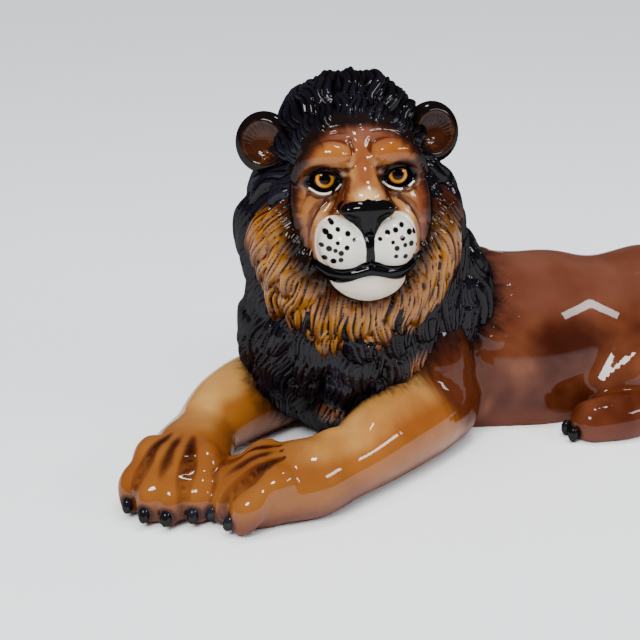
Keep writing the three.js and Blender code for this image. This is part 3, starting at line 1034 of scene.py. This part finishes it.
def nearest_form(p, forms):
    """Each point's distance from the nearest of some forms."""
    return np.minimum.reduce([form[0](p) for form in forms])


def nearest_place(p, places):
    """Each point's distance from the nearest of some places."""
    return np.sqrt(((p[:, None] - np.array(places)) ** 2).sum(2)).min(1)


COAT_CELL = 2.9
coat = moulded("coat", BODY, (5, COAT_CELL))
shoulder_locks = locks_of(SHOULDER_ROWS, 3000, shoulder_flow, BODY[0])
along, _, ridge, _ = comb(coat, shoulder_locks, lambda p: np.zeros(len(p)), BODY[0])
p = points_of(coat)
# Painted shade in the grooves between the toes, deepest where they start and near the floor.
shade_between_toes = np.exp(-np.maximum(nearest_form(p, TOE_GROOVES), 0) / 3)
paw = 1 - ramp(nearest_form(p, PALMS + TOE_FORMS), 0, 30)
for _ in range(4):
    p += (0.6 * paw)[:, None] * (neighbours_mean(coat, p) - p)
from_start = nearest_place(p, [line[1] for line in GROOVE_LINES])
shade_between_toes *= 0.55 + 0.45 * np.exp(-((from_start / 22) ** 2)) + 0.25 * (1 - ramp(p[:, 2], 10, 34))
p[:, 2] = np.maximum(p[:, 2], 0)
set_points(coat, p)
from_claw = nearest_place(p, [place.translation for place in CLAW_PLACES])
leg = 1 - ramp(nearest_form(p, FORELEGS), 4, 30)
upward = normals_of(coat)[:, 2]
for _ in range(4):
    upward = neighbours_mean(coat, upward)
from_mane = p - (20, 40, 210)
distance_from_mane = np.linalg.norm(from_mane, axis=1)
painted(
    coat,
    (
        90 * np.arctan2(from_mane[:, 1], from_mane[:, 0]),
        90 * np.arcsin(from_mane[:, 2] / distance_from_mane),
        distance_from_mane / STROKE_SHAPE,
    ),
    hollow=hollows(coat, 2, COAT_CELL),
    toes=shade_between_toes,
    claw=1 - ramp(from_claw, 7, 14),
    hair=-mane_distance(p),
    leg=leg,
    paw=paw,
    # crest is a painted highlight: the legs are paler where they face up to the light
    crest=leg * (1 - 0.5 * paw) * ramp(upward, 0.35, 1.0),
    under=1 - ramp(p[:, 2], 2, 46),
    back=ramp(p[:, 2], 90, 160),
    arm=1 - ramp(np.linalg.norm(p - (112, -14, 70), axis=1), 34, 84),
    wisps=neighbours_mean(coat, (1.22 - along) * (ridge > 0)),
    flank=np.exp(-(((p - (250, -26, 96)) / (70, 60, 34)) ** 2).sum(1)),
    tuft=(p[:, 0] < 392) * (p[:, 1] < 0) * (1 - ramp(TAIL[0](p), 0, 6)),
)


# Claws: short round nubs that are set in the tips of the toes.
shells = bmesh.new()
for place in CLAW_PLACES:
    nub = place @ Matrix.Diagonal((6, 5.6, 9, 1))
    bmesh.ops.create_uvsphere(shells, u_segments=20, v_segments=14, radius=1, matrix=nub)
claws = linked("claws", bpy.data.meshes.new("claws"))
shells.to_mesh(claws.data)
shells.free()
p = points_of(claws)
painted(claws, (p[:, 0], p[:, 1], p[:, 2] / STROKE_SHAPE), tip=1 - ramp(p[:, 2], 6, 20))


# Finishes: all are underglaze colours on white earthenware under a clear glossy glaze; some colours are
# painted shade and highlight.


def linear(code):
    """An sRGB hex colour as linear light."""
    parts = [int(code[n : n + 2], 16) / 255 for n in (1, 3, 5)]
    return (*(c / 12.92 if c <= 0.04045 else ((c + 0.055) / 1.055) ** 2.4 for c in parts), 1)


def add(tree, kind, inputs, **settings):
    """Adds a node with its settings, and its inputs as values or as the sockets that feed them."""
    node = tree.nodes.new(kind)
    for name, value in settings.items():
        setattr(node, name, value)
    for name, value in inputs.items():
        if isinstance(value, bpy.types.NodeSocket):
            tree.links.new(value, node.inputs[name])
        else:
            node.inputs[name].default_value = value
    return node


# The painter's strokes are about this wide, the washes spread this far, and the glaze ripples at this pitch.
STROKE_MM = 2.5
WASH_MM = 60
SMOOTH_RIPPLE_MM = 26
HAIR_RIPPLE_MM = 5
RIPPLE_DEPTH = 0.0006
# The warm tint of the clear glaze where it pools.
POOLED_TINT = "#c08a60"


def glazed(name, thin, thick, layers, ripple_mm=SMOOTH_RIPPLE_MM):
    """Underglaze colours laid over each other under clear glaze that ripples at the pitch given.
    A layer is a colour, the attribute that places it, where it starts and is full, and the brush's stray.
    """
    material = bpy.data.materials.new(name)
    material.use_nodes = True
    tree = material.node_tree
    shader = tree.nodes["Principled BSDF"]
    place = add(tree, "ShaderNodeTexCoord", {}).outputs["Object"]
    stroke = add(tree, "ShaderNodeAttribute", {}, attribute_name="stroke").outputs["Vector"]
    brush = add(tree, "ShaderNodeTexNoise", {"Vector": stroke, "Scale": 0.5 / STROKE_MM, "Detail": 2.0})
    wash = add(tree, "ShaderNodeTexNoise", {"Vector": place, "Scale": 1000 / WASH_MM, "Detail": 2.0})
    tone = add(tree, "ShaderNodeMapRange", {"Value": wash.outputs["Fac"], "From Min": 0.35, "From Max": 0.65})
    washed = {0: tone.outputs[0], 6: linear(thin), 7: linear(thick)}
    colour = add(tree, "ShaderNodeMix", washed, data_type="RGBA").outputs[2]
    for code, attribute, start, full, stray in layers:
        mask = add(tree, "ShaderNodeAttribute", {}, attribute_name=attribute).outputs["Fac"]
        centred = {0: brush.outputs["Fac"], 1: 0.5}
        shift = add(tree, "ShaderNodeMath", centred, operation="SUBTRACT").outputs[0]
        moved = {0: shift, 1: stray, 2: mask}
        strayed = add(tree, "ShaderNodeMath", moved, operation="MULTIPLY_ADD").outputs[0]
        reach = {"Value": strayed, "From Min": start, "From Max": full}
        share = add(tree, "ShaderNodeMapRange", reach, interpolation_type="SMOOTHSTEP").outputs[0]
        laid = {0: share, 6: colour, 7: linear(code)}
        colour = add(tree, "ShaderNodeMix", laid, data_type="RGBA").outputs[2]
    pooled = add(tree, "ShaderNodeMath", {0: tone.outputs[0], 1: 0.5}, operation="MULTIPLY").outputs[0]
    tinted = {0: pooled, 6: colour, 7: linear(POOLED_TINT)}
    colour = add(tree, "ShaderNodeMix", tinted, data_type="RGBA", blend_type="MULTIPLY").outputs[2]
    tree.links.new(colour, shader.inputs["Base Color"])
    # Light colours show the full gloss. Black ones show less, and least where they are seen edge on.
    bright = add(tree, "ShaderNodeRGBToBW", {"Color": colour}).outputs[0]
    edge = add(tree, "ShaderNodeLayerWeight", {"Blend": 0.5}).outputs["Facing"]
    by_angle = {"Value": edge, "From Min": 0.2, "From Max": 0.8, "To Min": 0.34, "To Max": 0.04}
    black = add(tree, "ShaderNodeMapRange", by_angle).outputs[0]
    by_colour = {"Value": bright, "From Max": 0.1, "To Min": black, "To Max": 0.75}
    sheen = add(tree, "ShaderNodeMapRange", by_colour).outputs[0]
    tree.links.new(sheen, shader.inputs["Coat Weight"])
    ripple = add(tree, "ShaderNodeTexNoise", {"Vector": place, "Scale": 1000 / ripple_mm, "Detail": 1.0})
    relief = {"Height": ripple.outputs["Fac"], "Strength": 0.15, "Distance": RIPPLE_DEPTH}
    bump = add(tree, "ShaderNodeBump", relief)
    tree.links.new(bump.outputs[0], shader.inputs["Coat Normal"])
    tree.links.new(bump.outputs[0], shader.inputs["Normal"])
    shader.inputs["Roughness"].default_value = 0.4
    shader.inputs["IOR"].default_value = 1.5
    shader.inputs["Specular IOR Level"].default_value = 0.0
    shader.inputs["Coat Roughness"].default_value = 0.04
    shader.inputs["Coat IOR"].default_value = 1.52
    return material


# Red-brown body and golden legs, with a painted highlight where the legs face up, painted shade between the
# toes and in the hollows, and black-brown strokes by the mane.
COAT_GLAZE = glazed(
    "ochre_underglaze_coat",
    "#62351f",
    "#441e10",
    [
        ("#5f3829", "back", 0.2, 1.0, 0.5),
        ("#34140a", "flank", 0.2, 1.0, 0.5),
        ("#8a521d", "leg", 0.1, 1.0, 0.2),
        ("#7b491c", "paw", 0.2, 1.0, 0.4),
        # painted highlight on the upper sides of the legs
        ("#b08346", "crest", 0.3, 1.1, 0.2),
        ("#4a2210", "arm", 0.1, 0.9, 0.4),
        ("#5c2c17", "under", 0.1, 1.0, 0.3),
        # painted shade in the hollows
        ("#4d2410", "hollow", 0.05, 0.5, 0.2),
        # painted shade between the toes
        ("#46220d", "toes", 0.15, 0.7, 0.2),
        ("#1d0c06", "toes", 0.5, 1.0, 0.25),
        ("#2a1208", "claw", 0.1, 1.1, 0.5),
        ("#1c1010", "tuft", 0.2, 0.9, 0.8),
        ("#120b0c", "wisps", 0.25, 0.8, 0.6),
        ("#120b0c", "hair", -30, -4, 26),
    ],
)
# Black-brown hair: its faint blue stands in for the bluish sheen of the glaze, and painted shade turns it
# black in the grooves and the hollows.
MANE_GLAZE = glazed(
    "black_brown_underglaze_mane",
    "#13111b",
    "#0c0a10",
    [
        ("#1b161c", "shade", 0.5, 1.1, 0.5),
        ("#7a4c2e", "tan", 0.3, 0.8, 0.5),
        # painted shade in the grooves and the hollows
        ("#030202", "groove", 0.35, 0.9, 0.2),
        ("#030202", "hollow", 0.2, 1.2, 0.2),
    ],
    HAIR_RIPPLE_MM,
)
# Orange-ochre hair round the face, black-brown at the roots, with dark brown painted shade in the grooves and
# the hollows that leaves the ridges light.
RUFF_GLAZE = glazed(
    "orange_underglaze_ruff",
    "#78440e",
    "#552b08",
    [
        ("#452008", "shade", 0.35, 0.75, 0.4),
        ("#9a641c", "root", 0.75, 0.4, 0.6),
        ("#3f1c07", "root", 0.5, 0.08, 0.4),
        ("#2c120a", "height", -56, -4, 20),
        # painted shade in the grooves
        ("#3a1a09", "groove", 0.25, 0.7, 0.3),
        ("#160a06", "face", 52, 40, 9),
        # painted shade in the hollows
        ("#0d0706", "hollow", 0.4, 1.8, 0.3),
    ],
    HAIR_RIPPLE_MM,
)
# Tan face with orange brows, white muzzle and chin, and black nose, mouth, eyelids and whisker spots. Painted
# shade darkens the lion's left cheek, the eye sockets under the brows, the creases beside the nose and the
# hollows.
FACE_GLAZE = glazed(
    "painted_underglaze_face",
    "#a67947",
    "#875931",
    [
        ("#6a3420", "left", 0.2, 1.0, 0.3),
        ("#d2ac78", "light", 0.25, 1.0, 0.3),
        ("#6c4331", "height", 32, 50, 10),
        ("#8e5520", "brow", -5, 4, 5),
        ("#7c4826", "glabella", 0.2, 0.9, 0.2),
        # painted shadow under the brows
        ("#2c130a", "socket", -6, -1, 4),
        # painted shadow in the creases beside the nose
        ("#4f240f", "smudge", -5, -1, 3),
        ("#693e21", "bags", -4, -1, 3),
        # painted shade in the hollows
        ("#4f240f", "hollow", 0.1, 0.8, 0.2),
        ("#411f0f", "rim", 0.86, 1.0, 0.14),
        ("#140b09", "rim", 0.94, 1.06, 0.1),
        ("#140d0c", "height", 54, 64, 10),
        ("#d3d3c9", "white", -0.8, 0.8, 0.8),
        ("#060507", "ink", -0.5, 0.5, 0.3),
        ("#e9e6da", "lid", -0.3, 0.4, 0.1),
    ],
)
# Brown ears, with a painted highlight on the ridges of the fine hairs inside and painted shade in the hollows
# between them, and black over the rim and the back.
EAR_GLAZE = glazed(
    "brown_underglaze_ear",
    "#42200c",
    "#281206",
    [
        # painted highlight on the ridges of the fine hairs
        ("#6a3c18", "hollow", 0.0, -0.5, 0.3),
        # painted shade in the hollows
        ("#1c0c07", "hollow", 0.2, 0.9, 0.3),
        ("#0d0808", "cup", 11, 24, 7),
        ("#0d0808", "back", 2, 7, 3),
    ],
)
# Eyes with the wet gloss of black glaze, over which the rings below lay the amber iris, darkened at the top
# by the lid's black and a painted shadow.
EYE_GLAZE = glazed("amber_painted_eye", "#0b0a0b", "#080708", [("#040304", "lash", -2.5, -1, 0.4)])
# Black claws, deeper black towards the floor, with a small hard highlight on each.
CLAW_GLAZE = glazed("black_underglaze_claw", "#1a1a20", "#0a0a0d", [("#050506", "tip", 0.2, 1.0, 0.6)])

# The pupil is black, and the rings painted round it are brown, bright amber, deeper amber and black.
IRIS_REACH_MM = 16.0
IRIS_STOPS = [
    (0.0, "#040304"),
    (0.33, "#040304"),
    (0.37, "#6a3408"),
    (0.45, "#d08a1c"),
    (0.56, "#b06c14"),
    (0.6, "#050405"),
]
tree = EYE_GLAZE.node_tree
shader = tree.nodes["Principled BSDF"]
ring = add(tree, "ShaderNodeAttribute", {}, attribute_name="iris").outputs["Fac"]
bands = add(tree, "ShaderNodeMapRange", {"Value": ring, "From Min": 0.0, "From Max": IRIS_REACH_MM})
fibre = add(tree, "ShaderNodeAttribute", {}, attribute_name="stroke").outputs["Vector"]
fleck = add(tree, "ShaderNodeTexNoise", {"Vector": fibre, "Scale": 0.9, "Detail": 3.0}).outputs["Fac"]
flecked = {0: fleck, 1: 0.06, 2: bands.outputs[0]}
strayed = add(tree, "ShaderNodeMath", flecked, operation="MULTIPLY_ADD").outputs[0]
rings = add(tree, "ShaderNodeValToRGB", {"Fac": strayed})
for n, (at, code) in enumerate(IRIS_STOPS):
    stop = rings.color_ramp.elements[n] if n < 2 else rings.color_ramp.elements.new(at)
    stop.position = at
    stop.color = linear(code)
# The black of the upper lid and the painted shadow of the brow cover the top of the iris, and a pale line
# lies along the lower lid.
lash = add(tree, "ShaderNodeAttribute", {}, attribute_name="lash").outputs["Fac"]
lashed = add(tree, "ShaderNodeMapRange", {"Value": lash, "From Min": -1.8, "From Max": -0.8}).outputs[0]
shading = {0: lashed, 6: rings.outputs["Color"], 7: linear("#040304")}
shaded = add(tree, "ShaderNodeMix", shading, data_type="RGBA").outputs[2]
lid = add(tree, "ShaderNodeAttribute", {}, attribute_name="lid").outputs["Fac"]
share = add(tree, "ShaderNodeMapRange", {"Value": lid, "From Min": -0.3, "From Max": 0.4}).outputs[0]
edged = {0: share, 6: shaded, 7: linear("#efe9dc")}
tree.links.new(add(tree, "ShaderNodeMix", edged, data_type="RGBA").outputs[2], shader.inputs["Base Color"])

PIECES = [
    (coat, COAT_GLAZE),
    (mane, MANE_GLAZE),
    (mane_middle, MANE_GLAZE),
    (mane_back, MANE_GLAZE),
    (ruff, RUFF_GLAZE),
    (ruff_left, RUFF_GLAZE),
    (head, FACE_GLAZE),
    (ears[0], EAR_GLAZE),
    (ears[1], EAR_GLAZE),
    (eyes[0], EYE_GLAZE),
    (eyes[1], EYE_GLAZE),
    (claws, CLAW_GLAZE),
]
for piece, glaze in PIECES:
    p = points_of(piece)
    p[:, 2] = np.maximum(p[:, 2], 0)
    set_points(piece, (p - FLOOR_CENTRE) * METRES)
    piece.data.shade_smooth()
    piece.data.materials.clear()
    piece.data.materials.append(glaze)
    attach(piece, "root")
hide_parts("lion")

# The studio: a plain pale floor and soft light.
shells = bmesh.new()
bmesh.ops.create_grid(shells, x_segments=1, y_segments=1, size=14)
floor = linked("floor", bpy.data.meshes.new("floor"))
shells.to_mesh(floor.data)
shells.free()
# Matt coated paper, rolled smooth, which gives a clean pale ground with no gloss.
floor_paper = bpy.data.materials.new("pale_studio_paper")
floor_paper.use_nodes = True
tree = floor_paper.node_tree
shader = tree.nodes["Principled BSDF"]
place = add(tree, "ShaderNodeTexCoord", {}).outputs["Object"]
grain = add(tree, "ShaderNodeTexNoise", {"Vector": place, "Scale": 3.0, "Detail": 3.0})
pale = {0: grain.outputs["Fac"], 6: linear("#f2f5f9"), 7: linear("#f9fbfd")}
tree.links.new(add(tree, "ShaderNodeMix", pale, data_type="RGBA").outputs[2], shader.inputs["Base Color"])
shader.inputs["Roughness"].default_value = 0.6
floor.data.materials.append(floor_paper)

# Each softbox by its name, its place, its size and its power.
LIGHTS = [
    ("key_softbox", (-1.5, -1.5, 1.9), (0.7, 0.5), 52),
    ("window_softbox", (1.7, -1.5, 1.4), (1.3, 0.3), 30),
    ("top_softbox", (0.4, -0.1, 2.4), (0.3, 0.3), 14),
]
for name, at, (wide, high), power in LIGHTS:
    softbox = bpy.data.lights.new(name, "AREA")
    softbox.shape = "RECTANGLE"
    softbox.size = wide
    softbox.size_y = high
    softbox.energy = power
    lamp = bpy.data.objects.new(name, softbox)
    bpy.context.scene.collection.objects.link(lamp)
    lamp.location = at
    lamp.rotation_euler = (Vector((0, 0, 0.2)) - Vector(at)).to_track_quat("-Z", "Y").to_euler()

# Even light from the ceiling that leaves no highlight of its own.
ceiling = bpy.data.objects.new("bright_ceiling", bpy.data.lights.new("bright_ceiling", "SUN"))
bpy.context.scene.collection.objects.link(ceiling)
ceiling.data.energy = 3.9
ceiling.data.angle = math.radians(60)
ceiling.visible_glossy = False
ceiling.rotation_euler = (math.radians(20), math.radians(-14), 0)

world = bpy.data.worlds.new("studio_air")
world.use_nodes = True
world.node_tree.nodes["Background"].inputs["Color"].default_value = linear("#dde4f0")
world.node_tree.nodes["Background"].inputs["Strength"].default_value = 0.2
bpy.context.scene.world = world

# The camera stands where the photograph was taken from.
camera = bpy.data.objects.new("camera", bpy.data.cameras.new("camera"))
bpy.context.scene.collection.objects.link(camera)
camera.location = (-0.44937, -1.11646, 0.60687)
camera.rotation_euler = (math.radians(68), 0, math.radians(-15))
camera.data.sensor_width = 36
camera.data.lens = 66.4
bpy.context.scene.camera = camera
